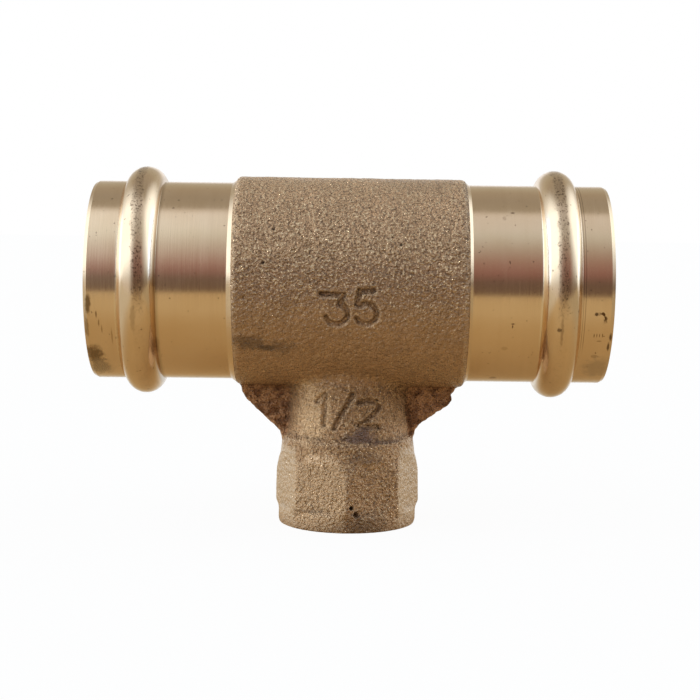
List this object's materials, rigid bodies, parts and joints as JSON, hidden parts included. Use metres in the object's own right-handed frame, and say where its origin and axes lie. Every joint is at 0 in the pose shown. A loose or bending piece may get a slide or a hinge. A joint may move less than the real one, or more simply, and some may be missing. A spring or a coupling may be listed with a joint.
{
  "type": "press tee with threaded branch",
  "caption": "Cast gunmetal press tee: two turned press sockets with sealing beads on one run, and a female pipe-thread branch with spanner flats held by side webs.",
  "frame": {"origin": "where the axis of the run crosses the axis of the branch", "axes": "+X along the run towards the right socket, -Z out of the threaded branch, -Y towards the viewer"},
  "size_m": [0.099, 0.0444, 0.0697],
  "materials": {
    "gunmetal": "shot-blasted casting with turned sockets",
    "seal_rubber": "moulded, satin"
  },
  "bodies": {
    "root": {"tee_body": "gunmetal", "left_seal": "seal_rubber", "right_seal": "seal_rubber"}
  },
  "joints": []
}
